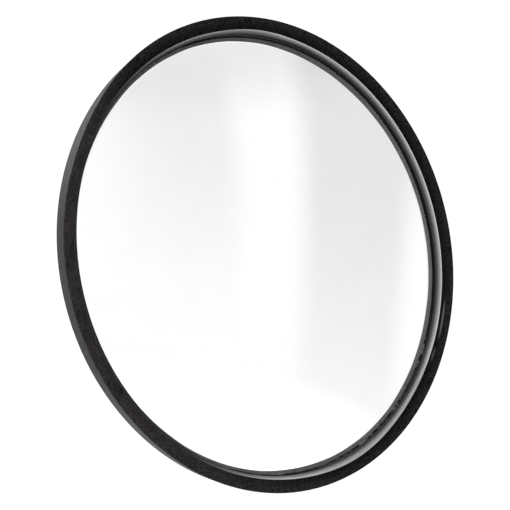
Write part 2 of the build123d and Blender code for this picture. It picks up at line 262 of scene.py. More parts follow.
def rubber_side():
    """Outer side wall of the rim: a drawn moulding texture, paler at the top and the bottom."""
    s = Shader("rim_side_rubber")
    drawn = s.noise(1, 3, 0.6, vector=s.place((150, 620, 1), "UV", (0, 0, 0.35)))
    fine = s.noise(900, 3, 0.6)
    _, _, z = s.position()
    both = s.math("ADD", s.times(drawn, 0.7), s.times(fine, 0.3))
    dark_base = s.ramp(drawn, (0.38, (0.0055, 0.0050, 0.0052)), (0.64, (0.0165, 0.0155, 0.0159)))
    paler_grey = s.ramp(drawn, (0.38, (0.0145, 0.0137, 0.0140)), (0.64, (0.0330, 0.0314, 0.0320)))
    palest_grey = s.ramp(drawn, (0.38, (0.0170, 0.0161, 0.0164)), (0.64, (0.0380, 0.0362, 0.0369)))
    low = s.mix(s.span(z, -0.11, -0.19), dark_base, paler_grey)
    s.set(Base_Color=s.mix(s.span(z, -0.01, 0.09), low, palest_grey))
    s.set(Roughness=s.ramp(both, (0.3, 0.5), (0.7, 0.7)), Specular_IOR_Level=0.09)
    s.bump(both, 0.5, 0.0006)
    return s.material


def rubber_rear():
    """Rear of the rim: plain moulded rubber with a satin skin."""
    s = Shader("rim_rear_rubber")
    fine = s.noise(600, 4, 0.6)
    broad = s.noise(30, 4, 0.6)
    colour = s.ramp(broad, (0.3, (0.010, 0.0095, 0.0097)), (0.75, (0.019, 0.018, 0.0185)))
    s.set(Base_Color=colour, Roughness=s.ramp(fine, (0.3, 0.42), (0.7, 0.6)))
    s.set(Specular_IOR_Level=0.4)
    s.bump(fine, 0.25, 0.0004)
    return s.material


def seal_rubber():
    """Rubber lip against the mirror: dull grey-black with rubbed patches."""
    s = Shader("seal_rubber_grey")
    fine = s.noise(500, 4, 0.6)
    patch = s.noise(110, 5, 0.7)
    colour = s.ramp(patch, (0.3, (0.014, 0.0135, 0.0138)), (0.7, (0.031, 0.030, 0.0305)))
    s.set(Base_Color=colour, Roughness=s.ramp(fine, (0.3, 0.5), (0.7, 0.66)))
    s.set(Specular_IOR_Level=0.18)
    s.bump(fine, 0.2, 0.0004)
    return s.material


def sealant():
    """Black sealant in the groove, with dried grey residue in patches at the lower right."""
    s = Shader("sealant_black")
    lumps = s.noise(260, 5, 0.6)
    residue = s.noise(170, 5, 0.7)
    x, _, z = s.position()
    lower_right = s.times(s.span(x, 0.0, 0.12), s.span(z, 0.02, -0.08))
    dried = s.times(s.span(residue, 0.46, 0.60), lower_right)
    s.set(Base_Color=s.mix(dried, (0.001, 0.0009, 0.0009), (0.050, 0.047, 0.048)))
    s.set(Roughness=s.ramp(lumps, (0.3, 0.55), (0.7, 0.85)), Specular_IOR_Level=0.03)
    s.bump(lumps, 0.4, 0.0008)
    return s.material


def mirror_face():
    """Metallised acrylic: a clean mirror whose moulding leaves the faintest waviness."""
    s = Shader("mirror_acrylic")
    wave = s.noise(9, 2, 0.4)
    haze = s.noise(40, 5, 0.6)
    s.set(Base_Color=s.ramp(haze, (0.3, (0.925, 0.927, 0.93)), (0.7, (0.945, 0.946, 0.948))))
    s.set(Metallic=1.0, Roughness=s.ramp(haze, (0.3, 0.035), (0.7, 0.055)))
    s.bump(wave, 0.02, 0.001)
    return s.material


# ---------------------------------------------------------------- mesh helpers
def filled_mesh(name, mesh_maker):
    """Mesh data from a function that fills a bmesh."""
    mesh = bpy.data.meshes.new(name)
    work = bmesh.new()
    mesh_maker(work)
    work.normal_update()
    work.to_mesh(mesh)
    work.free()
    return mesh


def in_scene(name, data):
    """A new object that holds a mesh, camera or light, linked to the scene."""
    made = bpy.data.objects.new(name, data)
    bpy.context.scene.collection.objects.link(made)
    return made


def new_object(name, mesh_maker, materials, body, replaces):
    """Object from a function that fills a bmesh; it rides on a body and stands for CAD nodes."""
    mesh = filled_mesh(name, mesh_maker)
    made = in_scene(name, mesh)
    for material in materials:
        mesh.materials.append(material)
    for polygon in mesh.polygons:
        polygon.use_smooth = True
    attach(made, body)
    if replaces:
        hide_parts(*replaces)
    return made


def about_axis(work, radius, depth, angle):
    """A vertex at a radius and depth, turned about the mirror's axis."""
    return work.verts.new((radius * math.cos(angle), FRONT_Y + depth, radius * math.sin(angle)))


def about_z(work, radius, height, angle):
    """A vertex at a radius and height, turned about local Z."""
    return work.verts.new((radius * math.cos(angle), radius * math.sin(angle), height))


def bridge(work, rings):
    """Faces from each ring of vertices to the next."""
    for low, high in zip(rings, rings[1:]):
        for step in range(len(low)):
            after = (step + 1) % len(low)
            work.faces.new((low[step], low[after], high[after], high[step]))


def lathe(work, outline, steps, zone=None, wobble=None):
    """Turns a closed (radius, depth) outline about the mirror's axis, with UVs in metres.

    zone(index) gives the material of the faces after outline point index. wobble(angle, index)
    gives a small (radius, depth) shift, so that a moulding isn't perfectly round.
    """
    layer = work.loops.layers.uv.new("UVMap")
    rings = []
    for step in range(steps):
        angle = math.tau * step / steps
        ring = []
        for index, (radius, depth) in enumerate(outline):
            if wobble:
                shift = wobble(angle, index)
                radius, depth = radius + shift[0], depth + shift[1]
            ring.append(about_axis(work, radius, depth, angle))
        rings.append(ring)
    along = [0.0]
    for (r0, d0), (r1, d1) in zip(outline, outline[1:] + outline[:1]):
        along.append(along[-1] + math.hypot(r1 - r0, d1 - d0))
    arc = math.tau * RIM_R / steps
    for step in range(steps):
        here, there = rings[step], rings[(step + 1) % steps]
        for index in range(len(outline)):
            after = (index + 1) % len(outline)
            face = work.faces.new((here[index], there[index], there[after], here[after]))
            face.material_index = zone(index) if zone else 0
            turns = (step, step + 1, step + 1, step)
            places = (index, index, index + 1, index + 1)
            for loop, turn, place in zip(face.loops, turns, places):
                loop[layer].uv = (turn * arc, along[place])


def rounded(corners, steps=6):
    """Closed outline with its (radius, depth, fillet) corners rounded, and each one's start."""
    outline, starts = [], []
    count = len(corners)
    for index, (x, y, fillet) in enumerate(corners):
        starts.append(len(outline))
        here = Vector((x, y))
        if fillet == 0:
            outline.append((x, y))
            continue
        before = (Vector(corners[index - 1][:2]) - here).normalized()
        after = (Vector(corners[(index + 1) % count][:2]) - here).normalized()
        half = before.angle(after) / 2
        reach = fillet / math.tan(half)
        centre = here + (before + after).normalized() * fillet / math.sin(half)
        first, last = here + before * reach - centre, here + after * reach - centre
        turn = first.angle_signed(last)
        for step in range(steps + 1):
            spoke = Matrix.Rotation(-turn * step / steps, 2) @ first
            outline.append(tuple(centre + spoke))
    return outline, starts


# ---------------------------------------------------------------- rim and mirror
SPHERE_R = 0.600
DOME_R = 0.204
FLANGE_DEPTH = FLANGE_REAR - 0.003
FACE_INNER = (0.2121, 0.0032)
BEVEL_FOOT = (0.2091, 0.0052)
WALL_BREAK = (0.2086, 0.0090)
WALL_FOOT = (0.2091, FLANGE_DEPTH)
CHANNEL_R = FLANGE_R + 0.5 * MM
SIDE_FOOT = (0.2205, 0.0195)
REAR_OUTER_R = 0.2155
REAR_INNER_R = 0.2055
SEAL_TOP = (0.2072, 0.0116)
SEAL_NOSE_R = 0.2040
RING_STEPS = 720


# A moulding pressed on by hand isn't quite round: (angle and spread in degrees, shift in mm).
CREST_UNEVEN = ((299, 12, 2.5), (93, 7, 1.2), (35, 25, -0.5))
CORNER_UNEVEN = ((158, 14, -2.4),)
FOOT_UNEVEN = ((198, 26, -1.1), (299, 12, 1.2))
NOSE_UNEVEN = ((65, 20, -1.4), (342, 14, -0.8), (283, 10, -0.6))


def uneven(angle, bumps):
    """Sum of soft bumps round the rim, in metres."""
    total = 0.0
    for centre, spread, shift in bumps:
        away = (math.degrees(angle) - centre + 180) % 360 - 180
        total += shift * MM * math.exp(-((away / spread) ** 2) / 2)
    return total


def make_rim():
    corner_r = RIM_R + 0.25 * MM
    corners = [
        (*FACE_INNER, 0.3 * MM),
        (corner_r, 0, 0.7 * MM),
        (*SIDE_FOOT, 4.0 * MM),
        (REAR_OUTER_R, RIM_DEPTH, 1.5 * MM),
        (REAR_INNER_R, RIM_DEPTH, 0.8 * MM),
        (REAR_INNER_R, PANEL_REAR, 0),
        (CHANNEL_R, PANEL_REAR, 0),
        (CHANNEL_R, FLANGE_DEPTH, 0),
        (*WALL_FOOT, 0),
        (*WALL_BREAK, 3.0 * MM),
        (*BEVEL_FOOT, 1.0 * MM),
    ]
    outline, starts = rounded(corners)
    # The front's material starts and ends part of the way round its two rounded corners.
    face, side, rear, wall = starts[0] + 5, starts[1] + 4, starts[3], starts[8]
    front_rubber, inner_rubber, side_rubber, rear_rubber = range(4)

    def zone(index):
        if face <= index < side:
            return front_rubber
        if side <= index < rear:
            return side_rubber
        return rear_rubber if rear <= index < wall else inner_rubber

    def wobble(angle, index):
        if index < starts[1]:
            return uneven(angle, CREST_UNEVEN), 0.0
        if index < starts[2]:
            return uneven(angle, CORNER_UNEVEN), 0.0
        if index >= starts[10]:
            return uneven(angle, FOOT_UNEVEN), 0.0
        return 0.0, 0.0

    materials = [rubber_front(), rubber_inner(), rubber_side(), rubber_rear()]
    return new_object(
        "rim",
        lambda work: lathe(work, outline, RING_STEPS, zone, wobble),
        materials,
        "head",
        ["edge_trim"],
    )


def make_seal():
    corners = [
        (SEAL_NOSE_R, FLANGE_DEPTH - 0.7 * MM, 0.25 * MM),
        (*SEAL_TOP, 0.5 * MM),
        (SEAL_TOP[0], FLANGE_DEPTH, 0),
        (SEAL_NOSE_R + 0.9 * MM, FLANGE_DEPTH, 0),
    ]
    outline, starts = rounded(corners)

    def wobble(angle, index):
        ripple = 0.12 * MM * math.sin(23 * angle) * math.sin(7 * angle)
        if index < starts[1]:
            return uneven(angle, NOSE_UNEVEN) + ripple, 0.0
        return (0.0, ripple) if index < starts[2] else (0.0, 0.0)

    return new_object(
        "seal",
        lambda work: lathe(work, outline, RING_STEPS, wobble=wobble),
        [seal_rubber()],
        "head",
        ["lip_seal"],
    )


def make_sealant():
    """Hand-run bead in the groove between seal and wall, lumpy where its residue dried."""
    inner_r, outer_r = SEAL_TOP[0] + 0.05 * MM, WALL_FOOT[0] - 0.1 * MM
    top = FLANGE_DEPTH - 1.8 * MM
    corners = [
        (inner_r, FLANGE_DEPTH, 0),
        (inner_r, top, 0.6 * MM),
        (outer_r, top, 0.6 * MM),
        (outer_r, FLANGE_DEPTH, 0),
    ]
    outline, starts = rounded(corners, 4)
    draw = random.Random(11)
    lumps = [
        (draw.uniform(244, 338), draw.uniform(0.6, 3.2), draw.uniform(0.3, 1.5)) for _ in range(30)
    ]
    runs = [(draw.uniform(0, 360), draw.uniform(2, 9), draw.uniform(-0.4, 0.5)) for _ in range(24)]
    heights = {}

    def wobble(angle, index):
        if angle not in heights:
            heights[angle] = min(uneven(angle, lumps + runs), 2.4 * MM)
        return (0.0, -heights[angle]) if starts[1] <= index < starts[3] else (0.0, 0.0)

    return new_object(
        "sealant",
        lambda work: lathe(work, outline, RING_STEPS * 2, wobble=wobble),
        [sealant()],
        "head",
        ["sealant_bead"],
    )


def make_mirror():
    """Spherical dome with a flat flange: an outer and an inner skin, from apex to apex."""
    centre = FLANGE_DEPTH + math.sqrt(SPHERE_R**2 - DOME_R**2)
    rings = 90

    def surface(radius, sphere):
        return (radius, centre - math.sqrt(sphere**2 - radius**2))

    inner_sphere = SPHERE_R - 3 * MM
    inner_r = math.sqrt(inner_sphere**2 - (centre - FLANGE_REAR) ** 2)
    outline = [surface(DOME_R * i / rings, SPHERE_R) for i in range(1, rings + 1)]
    outline += [(DOME_R + 0.4 * MM, FLANGE_DEPTH)]
    outline += [(FLANGE_R, FLANGE_DEPTH), (FLANGE_R, FLANGE_REAR)]
    outline += [surface(inner_r * i / rings, inner_sphere) for i in range(rings, 0, -1)]

    def shell(work):
        steps = 360
        turns = [math.tau * step / steps for step in range(steps)]
        loops = [[about_axis(work, r, depth, turn) for turn in turns] for r, depth in outline]
        bridge(work, loops)
        for ring, sphere in ((loops[0], SPHERE_R), (loops[-1], inner_sphere)):
            apex = work.verts.new((0, FRONT_Y + surface(0, sphere)[1], 0))
            for step in range(steps):
                after = (step + 1) % steps
                corners = (ring[after], ring[step], apex)
                work.faces.new(corners if ring is loops[0] else corners[::-1])
        bmesh.ops.recalc_face_normals(work, faces=work.faces)

    new_object("mirror", shell, [mirror_face()], "head", ["mirror_dome"])


# A clean white mirror: no glossy reflection, the mirror's own included, shows these three.
make_rim().visible_glossy = False
make_seal().visible_glossy = False
make_sealant().visible_glossy = False
make_mirror()


# ---------------------------------------------------------------- materials of the hardware
def zinc_plated(name, dark, light, roughness):
    """Bright zinc plate: cloudy bluish greys, fine rolling marks and a few handling smears."""
    s = Shader(name)
    cloud = s.noise(55, 5, 0.6)
    marks = s.noise(60, 4, 0.6, vector=s.place((2, 14, 14)))
    smear = s.noise(16, 5, 0.7, distortion=0.8)
    colour = s.ramp(cloud, (0.3, dark), (0.7, light))
    surface_colour = s.mix(s.span(smear, 0.5, 0.7), colour, s.mix(0.35, colour, (0.28, 0.27, 0.25)))
    rough = s.ramp(marks, (0.3, roughness - 0.07), (0.7, roughness + 0.09))
    s.set(Base_Color=surface_colour, Metallic=1.0, Roughness=rough)
    s.bump(marks, 0.10, 0.0003)
    return s.material


def black_coat(name, scale=1100.0, depth=0.2):
    """Black powder coat or painted casting: satin, with orange peel or cast grain."""
    s = Shader(name)
    peel = s.noise(scale, 2, 0.5)
    broad = s.noise(40, 4, 0.6)
    colour = s.ramp(broad, (0.3, (0.012, 0.012, 0.0125)), (0.75, (0.022, 0.022, 0.0225)))
    s.set(Base_Color=colour, Roughness=s.ramp(broad, (0.3, 0.34), (0.7, 0.46)))
    s.set(Specular_IOR_Level=0.5)
    s.bump(peel, depth, 0.0005)
    return s.material


def black_nylon():
    s = Shader("black_moulded_nylon")
    grain = s.noise(1500, 2, 0.5)
    flow = s.noise(70, 3, 0.5, distortion=0.5)
    colour = s.ramp(flow, (0.3, (0.010, 0.010, 0.011)), (0.75, (0.019, 0.019, 0.020)))
    s.set(Base_Color=colour, Roughness=s.ramp(flow, (0.3, 0.36), (0.7, 0.5)))
    s.set(Specular_IOR_Level=0.5)
    s.bump(grain, 0.25, 0.0003)
    return s.material


def white_nylon():
    s = Shader("natural_nylon")
    grain = s.noise(900, 2, 0.5)
    tint = s.noise(90, 3, 0.5)
    s.set(Base_Color=s.ramp(tint, (0.3, (0.66, 0.64, 0.58)), (0.7, (0.74, 0.72, 0.67))))
    s.set(Roughness=s.ramp(grain, (0.3, 0.38), (0.7, 0.48)), Subsurface_Weight=0.2)
    s.set(Subsurface_Radius=(0.003, 0.0025, 0.002), Subsurface_Scale=1.0)
    s.bump(grain, 0.1, 0.0002)
    return s.material


def brass():
    s = Shader("turned_brass")
    turned = s.noise(200, 3, 0.5, vector=s.place((1, 1, 20)))
    s.set(Base_Color=s.ramp(turned, (0.3, (0.60, 0.42, 0.18)), (0.7, (0.72, 0.52, 0.24))))
    s.set(Metallic=1.0, Roughness=s.ramp(turned, (0.3, 0.22), (0.7, 0.36)))
    s.bump(turned, 0.1, 0.0002)
    return s.material


def spring_steel():
    s = Shader("oiled_spring_steel")
    cloud = s.noise(300, 4, 0.6)
    s.set(Base_Color=s.ramp(cloud, (0.3, (0.10, 0.105, 0.12)), (0.7, (0.20, 0.20, 0.215))))
    s.set(Metallic=1.0, Roughness=s.ramp(cloud, (0.3, 0.3), (0.7, 0.45)))
    s.bump(cloud, 0.1, 0.0002)
    return s.material


def hardboard():
    """Tempered hardboard: dark brown with pressed fibres, fine flecks and a faint oil sheen."""
    s = Shader("tempered_hardboard")
    fibres = s.noise(620, 6, 0.75, distortion=1.2)
    clouds = s.noise(5, 3, 0.5)
    flecks = s.noise(800, 2, 0.6)
    base = s.ramp(fibres, (0.34, (0.062, 0.034, 0.018)), (0.68, (0.150, 0.090, 0.050)))
    toned = s.mix(s.times(s.span(clouds, 0.35, 0.7), 0.35), base, (0.145, 0.088, 0.050))
    flecked = s.mix(s.span(flecks, 0.64, 0.72), toned, (0.030, 0.018, 0.010))
    s.set(Base_Color=flecked, Roughness=s.ramp(fibres, (0.3, 0.42), (0.7, 0.58)))
    s.set(Specular_IOR_Level=0.4)
    s.bump(fibres, 0.3, 0.0004)
    return s.material


def black_foam():
    s = Shader("black_foam_tape")
    bubbles = s.cells(1400)
    s.set(Base_Color=s.ramp(bubbles, (0.1, 0.008), (0.8, 0.03)), Roughness=0.95)
    s.bump(bubbles, 0.7, 0.0006)
    return s.material


# ---------------------------------------------------------------- shapes of the hardware
BODY_OF = {
    node: body for body, nodes in frame["record"]["behaviour"]["bodies"].items() for node in nodes
}
# Each joint's own axes: Z runs along its bolt, X along the arm towards the other joint.
TILT = Matrix(((0, 0, 1, 0), (1, 0, 0, TILT_AXIS.y), (0, 1, 0, 0), (0, 0, 0, 1)))
PAN = Matrix(((0, -1, 0, 0), (-1, 0, 0, PAN_AXIS.y), (0, 0, -1, 0), (0, 0, 0, 1)))


def local_box(node, place):
    """A CAD node's box in the axes of a joint or fastener: (lowest, highest) corners."""
    first, second = (place.inverted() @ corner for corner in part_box(node))
    lows = Vector(min(pair) for pair in zip(first, second))
    return lows, Vector(max(pair) for pair in zip(first, second))


def stand_in(node, mesh_maker, material, place=None):
    """A detailed piece, made in local axes, that stands for one CAD node."""

    def placed(work):
        mesh_maker(work)
        if place:
            work.transform(place)
        bmesh.ops.recalc_face_normals(work, faces=work.faces)

    return new_object(node + "_piece", placed, [material], BODY_OF[node], [node])


def keep_sharp(piece, degrees=35.0, bevel=0.0):
    """Small true bevels on the edges, and shading that stays crisp across the sharp ones."""
    if bevel:
        edge = piece.modifiers.new("bevel", "BEVEL")
        edge.width = bevel
        edge.segments = 3
        edge.limit_method = "ANGLE"
        edge.angle_limit = math.radians(degrees)
        edge.harden_normals = True
    for polygon in piece.data.polygons:
        polygon.use_smooth = True


def ring_mesh(work, outline, steps=64):
    """Turns a closed (radius, height) outline about local Z."""
    turns = (math.tau * step / steps for step in range(steps))
    rings = [[about_z(work, r, z, turn) for r, z in outline] for turn in turns]
    for step in range(steps):
        here, there = rings[step], rings[(step + 1) % steps]
        for index in range(len(outline)):
            after = (index + 1) % len(outline)
            work.faces.new((here[index], there[index], there[after], here[after]))


def solid_of_turning(work, outline, steps=64):
    """Turns an open (radius, height) outline whose two ends lie on the axis."""
    bottom = work.verts.new((0, 0, outline[0][1]))
    top = work.verts.new((0, 0, outline[-1][1]))
    rings = []
    for r, z in outline[1:-1]:
        turns = (math.tau * step / steps for step in range(steps))
        rings.append([about_z(work, r, z, turn) for turn in turns])
    for step in range(steps):
        after = (step + 1) % steps
        work.faces.new((bottom, rings[0][after], rings[0][step]))
        work.faces.new((top, rings[-1][step], rings[-1][after]))
        for low, high in zip(rings, rings[1:]):
            work.faces.new((low[step], low[after], high[after], high[step]))


def hexagon_mesh(work, across_flats, bottom, top, bore=0.0):
    """Hexagon with its corners turned off at 30 degrees, as on a real head or nut."""
    steps = 96
    half = across_flats / 2
    face_r = half * 0.95
    slope = math.tan(math.radians(30))

    def ring(height, radius_of):
        turns = (math.tau * step / steps for step in range(steps))
        return [about_z(work, radius_of(turn), height(turn), turn) for turn in turns]

    def hexagon_r(angle):
        return half / math.cos(angle % (math.pi / 3) - math.pi / 6)

    def drop(angle):
        return (hexagon_r(angle) - face_r) * slope

    def flat(value):
        return lambda angle: value

    inner = flat(bore) if bore else None
    rings = []
    if inner:
        rings.append(ring(flat(bottom + 0.3 * MM), inner))
        rings.append(ring(flat(bottom), flat(bore + 0.3 * MM)))
    rings.append(ring(flat(bottom), flat(face_r)))
    rings.append(ring(lambda a: bottom + drop(a), hexagon_r))
    rings.append(ring(lambda a: top - drop(a), hexagon_r))
    rings.append(ring(flat(top), flat(face_r)))
    if inner:
        rings.append(ring(flat(top), flat(bore + 0.3 * MM)))
        rings.append(ring(flat(top - 0.3 * MM), inner))
        rings.append(rings[0])
    bridge(work, rings)
    if not inner:
        work.faces.new(rings[0][::-1])
        work.faces.new(rings[-1])


def threaded_rod(work, radius, bottom, top, thread_from, pitch):
    """Shank with a real helical thread from thread_from up to its chamfered top."""
    steps, rows = 36, 8
    depth = 0.6 * pitch
    levels = [bottom, thread_from - 0.2 * pitch]
    count = int((top - thread_from) / pitch * rows)
    levels += [thread_from + (top - thread_from) * i / count for i in range(count + 1)]
    rings = []
    for z in levels:
        ring = []
        for step in range(steps):
            angle = math.tau * step / steps
            phase = (z / pitch - step / steps) % 1.0
            groove = depth * (1 - abs(2 * phase - 1) * 1.25) if z >= thread_from else 0.0
            limit = radius - max(0.0, z - (top - 0.9 * MM)) * 0.9
            r = min(limit, radius - max(0.0, groove))
            ring.append(about_z(work, r, z, angle))
        rings.append(ring)
    bridge(work, rings)
    work.faces.new(rings[0][::-1])
    work.faces.new(rings[-1])


def moulded(mesh_maker, voxel, smoothing):
    """Fuses overlapping closed shapes into one skin with the soft fillets of a moulding."""

    def facing_out(work):
        mesh_maker(work)
        bmesh.ops.recalc_face_normals(work, faces=work.faces)

    rough = in_scene("rough", filled_mesh("rough", facing_out))
    remesh = rough.modifiers.new("remesh", "REMESH")
    remesh.mode = "VOXEL"
    remesh.voxel_size = voxel
    smooth = rough.modifiers.new("smooth", "SMOOTH")
    smooth.factor = 0.5
    smooth.iterations = smoothing
    seen = rough.evaluated_get(bpy.context.evaluated_depsgraph_get())
    fused = bpy.data.meshes.new_from_object(seen)
    bpy.data.objects.remove(rough)

    def maker(target):
        target.from_mesh(fused)

    return maker


# ---------------------------------------------------------------- the two friction joints
BOLT_R = 4.0 * MM
RUNNING_BORE = 4.05 * MM
WASHER_BORE = 4.2 * MM
BUSH_BARREL_R = 5.98 * MM
SEAT_R = 6 * MM


def washer_outline(inner, outer, bottom, top, edge=0.25 * MM):
    places = ((inner, bottom), (outer, bottom), (outer, top), (inner, top))
    return rounded([(*place, edge) for place in places], 3)[0]


def make_bolt(node, place, pitch, shank_bottom, thread_length, steel):
    """Hexagon head with a washer face, and a shank threaded at its far end."""
    low, high = local_box(node, place)
    face_r, face_bottom = 6.2 * MM, shank_bottom - 0.6 * MM

    def bolt(work):
        hexagon_mesh(work, min(high.x - low.x, high.y - low.y), low.z, shank_bottom - 0.2 * MM)
        face = [(0, face_bottom), (face_r, face_bottom), (face_r, shank_bottom), (0, shank_bottom)]
        solid_of_turning(work, face)
        threaded_rod(work, BOLT_R, shank_bottom - 0.5 * MM, high.z, high.z - thread_length, pitch)

    keep_sharp(stand_in(node, bolt, steel, place), 30, 0.12 * MM)


def make_washer(node, place, steel):
    low, high = local_box(node, place)
    outline = washer_outline(WASHER_BORE, high.y, low.z, high.z)
    stand_in(node, lambda work: ring_mesh(work, outline), steel, place)


def make_spring_washer(node, place, steel):
    """One turn of square wire with its two ends a little apart, as a split washer is."""
    low, high = local_box(node, place)
    outer, gap = high.y, 1.5 * MM
    height = high.z - low.z
    rise = 0.25 * MM

    def coil(work):
        steps = 60
        start = gap / 2 / outer
        rings = []
        for step in range(steps + 1):
            share = step / steps
            angle = start + (math.tau - 2 * start) * share
            bottom = low.z + rise * share
            section = washer_outline(WASHER_BORE, outer, bottom, bottom + height - rise, 0.2 * MM)
            rings.append([about_z(work, r, z, angle) for r, z in section])
        for here, there in zip(rings, rings[1:]):
            for index in range(len(here)):
                after = (index + 1) % len(here)
                work.faces.new((here[index], there[index], there[after], here[after]))
        work.faces.new(rings[0])
        work.faces.new(rings[-1][::-1])

    stand_in(node, coil, steel, place)


def make_knob(node, place, nylon):
    """Wing knob: tapered hub with a rolled rim, and two wings that thicken towards their tips."""
    low, high = local_box(node, place)
    base, crest, reach = low.z, high.z, high.x
    hub_r, hub_top = high.y, crest - 4.0 * MM
    bore, pocket = 4.6 * MM, base + 14 * MM
    root, foot, web_top = 7 * MM, base + 2.5 * MM, hub_top - 3 * MM

    def rough(work):
        hub = [
            (SEAT_R, base, 0),
            (hub_r, base, 0.8 * MM),
            (hub_r - 0.2 * MM, base + 2.6 * MM, 0.8 * MM),
            (hub_r - 1.0 * MM, base + 3.4 * MM, 0.8 * MM),
            (hub_r - 1.6 * MM, hub_top, 1.8 * MM),
            (bore, hub_top, 0.4 * MM),
            (bore, pocket, 0),
            (SEAT_R, pocket, 0),
        ]
        ring_mesh(work, rounded(hub, 4)[0], 72)
        for side in (1, -1):
            corners = [
                (side * root, foot, 0),
                (side * 14 * MM, foot, 6.0 * MM),
                (side * reach, base + 9 * MM, 4.0 * MM),
                (side * reach, crest, 3.8 * MM),
                (side * 13 * MM, crest, 3.8 * MM),
                (side * 8 * MM, web_top, 3.0 * MM),
                (side * root, web_top, 0),
            ]
            outline, _ = rounded(corners, 6)
            skins = []
            for face in (1, -1):
                skin = []
                for x, z in outline:
                    share = (abs(x) - bore) / (reach - bore)
                    half = (2.1 + 1.1 * share**2) * MM
                    skin.append(work.verts.new((x, face * half, z)))
                skins.append(skin)
            front, back = skins
            work.faces.new(front)
            work.faces.new(back[::-1])
            for index in range(len(outline)):
                after = (index + 1) % len(outline)
                work.faces.new((front[index], front[after], back[after], back[index]))

    stand_in(node, moulded(rough, 0.4 * MM, 7), nylon, place)


def make_insert(node, place, metal):
    """Turned brass insert that the wing knob is moulded round."""
    low, high = local_box(node, place)
    corners = [
        (RUNNING_BORE, low.z, 0.2 * MM),
        (high.y, low.z, 0.5 * MM),
        (high.y, high.z, 0.5 * MM),
        (RUNNING_BORE, high.z, 0.2 * MM),
    ]
    outline, _ = rounded(corners, 3)
    stand_in(node, lambda work: ring_mesh(work, outline), metal, place)


def make_bushes(node, place, nylon):
    """Two flanged bushes that face each other along the bolt."""
    low, high = local_box(node, place)
    flange_r, flange_t = high.y, 1.5 * MM
    barrel = high.z - flange_t

    def pair(work):
        for side in (1, -1):
            corners = [
                (RUNNING_BORE, side * high.z, 0.3 * MM),
                (flange_r, side * high.z, 0.4 * MM),
                (flange_r, side * barrel, 0.3 * MM),
                (BUSH_BARREL_R, side * barrel, 0),
                (BUSH_BARREL_R, side * 2 * MM, 0.3 * MM),
                (RUNNING_BORE, side * 2 * MM, 0.2 * MM),
            ]
            ring_mesh(work, rounded(corners, 4)[0])

    stand_in(node, pair, nylon, place)


def make_knuckle(node, place, casting):
    """Cast eye: barrel and neck run into each other with a soft fillet; the spigot is turned."""
    low, high = local_box(node, place)
    barrel_r, barrel_half = -low.x, high.z
    shoulder, neck_r, spigot_r = 15 * MM, 11 * MM, 8.95 * MM
    root, spigot_root = 6.6 * MM, shoulder - 1 * MM
    neck = [
        (0, root),
        (9.0 * MM, root),
        (10.6 * MM, 9.5 * MM),
        (neck_r, 12 * MM),
        (neck_r, shoulder),
        (0, shoulder),
    ]
    spigot = [(0, spigot_root), (spigot_r, spigot_root), (spigot_r, high.x), (0, high.x)]

    def stem(work):
        solid_of_turning(work, neck, 72)
        solid_of_turning(work, spigot, 72)
        work.transform(Matrix.Rotation(math.pi / 2, 4, "Y"))

    def rough(work):
        barrel = [
            (SEAT_R, -barrel_half, 0.3 * MM),
            (barrel_r, -barrel_half, 1.0 * MM),
            (barrel_r, barrel_half, 1.0 * MM),
            (SEAT_R, barrel_half, 0.3 * MM),
        ]
        ring_mesh(work, rounded(barrel, 4)[0], 96)
        work.from_mesh(filled_mesh("neck", stem))

    stand_in(node, moulded(rough, 0.5 * MM, 4), casting, place)


def make_joint(prefix, place, finish):
    """All the small pieces of one friction joint, in its own axes."""
    ear_outer = local_box(prefix + "_washer", place)[0].z
    make_bolt(prefix + "_bolt", place, 1.25 * MM, -ear_outer, 30 * MM, finish["zinc"])
    make_washer(prefix + "_washer", place, finish["zinc"])
    make_spring_washer(prefix + "_spring_washer", place, finish["spring"])
    make_knob(prefix + "_knob", place, finish["nylon"])
    make_insert(prefix + "_knob_insert", place, finish["brass"])
    make_bushes(prefix + "_bushes", place, finish["bush"])
    make_knuckle(prefix + "_knuckle", place, finish["casting"])


# ---------------------------------------------------------------- brackets, arm and hub fasteners
def weld_bead(work, start, end, radius, seed):
    """Row of overlapping ripples along a joint, a little uneven like a hand-laid weld."""
    start, end = Vector(start), Vector(end)
    along = (end - start).normalized()
    side = along.orthogonal().normalized()
    up = along.cross(side)
    length = (end - start).length
    rows, around = int(length / (0.22 * MM)), 14
    draw = random.Random(seed)
    wander = [draw.uniform(-1, 1) for _ in range(12)]
    rings = []
    for row in range(rows + 1):
        share = row / rows
        ripple = abs(math.sin(share * length / (1.5 * MM) * math.pi)) ** 0.6
        drift = sum(w * math.sin(share * math.pi * (n + 2)) for n, w in enumerate(wander)) / 12
        taper = min(1.0, 4 * share + 0.35, 4 * (1 - share) + 0.35)
        r = radius * taper * (0.86 + 0.14 * ripple + 0.10 * drift)
        middle = start.lerp(end, share)
        turns = (math.tau * step / around for step in range(around))
        spokes = (side * math.cos(turn) + up * math.sin(turn) for turn in turns)
        rings.append([work.verts.new(middle + spoke * r) for spoke in spokes])
    bridge(work, rings)
    work.faces.new(rings[0][::-1])
    work.faces.new(rings[-1])


def dress(node, material, bevel=0.0):
    """A CAD node whose shape is right: it keeps its mesh and gets its material and edge bevels."""
    piece = frame["nodes"][node]
    piece.data.materials.clear()
    piece.data.materials.append(material)
    keep_sharp(piece, bevel=bevel)


